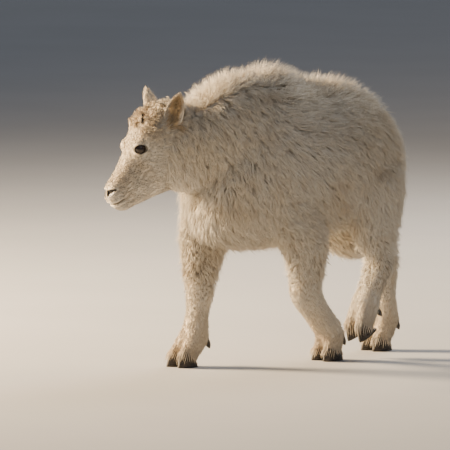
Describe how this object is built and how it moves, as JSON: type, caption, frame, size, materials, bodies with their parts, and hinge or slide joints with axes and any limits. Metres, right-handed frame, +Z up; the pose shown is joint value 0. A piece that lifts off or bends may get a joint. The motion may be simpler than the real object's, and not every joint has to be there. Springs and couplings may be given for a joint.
{
  "type": "mountain goat kid",
  "caption": "Life-size still model of a young mountain goat walking, with a woolly coat, spiky crest, curly brow and short horns.",
  "frame": {"origin": "on the ground, at the middle of the bounding box's base", "axes": "the kid faces -Y, its left side is +X and +Z is up"},
  "size_m": [0.2064, 0.6122, 0.4985],
  "materials": {
    "coat": "matte wool",
    "eye": "wet gloss",
    "horn": "satin horn",
    "hoof": "satin horn"
  },
  "bodies": {
    "root": {"ear_left": "coat", "ear_right": "coat", "eye_left": "eye", "eye_right": "eye", "foreleg_left_cannon": "coat", "foreleg_left_dewclaw_left": "hoof", "foreleg_left_dewclaw_right": "hoof", "foreleg_left_foot": "coat", "foreleg_left_forearm": "coat", "foreleg_left_hoof_left": "hoof", "foreleg_left_hoof_right": "hoof", "foreleg_right_cannon": "coat", "foreleg_right_dewclaw_left": "hoof", "foreleg_right_dewclaw_right": "hoof", "foreleg_right_foot": "coat", "foreleg_right_forearm": "coat", "foreleg_right_hoof_left": "hoof", "foreleg_right_hoof_right": "hoof", "head": "coat", "hindleg_left_cannon": "coat", "hindleg_left_dewclaw_left": "hoof", "hindleg_left_dewclaw_right": "hoof", "hindleg_left_foot": "coat", "hindleg_left_gaskin": "coat", "hindleg_left_hoof_left": "hoof", "hindleg_left_hoof_right": "hoof", "hindleg_right_cannon": "coat", "hindleg_right_dewclaw_left": "hoof", "hindleg_right_dewclaw_right": "hoof", "hindleg_right_foot": "coat", "hindleg_right_gaskin": "coat", "hindleg_right_hoof_left": "hoof", "hindleg_right_hoof_right": "hoof", "horn_left": "horn", "horn_right": "horn", "neck": "coat", "tail": "coat", "torso": "coat"}
  },
  "joints": []
}
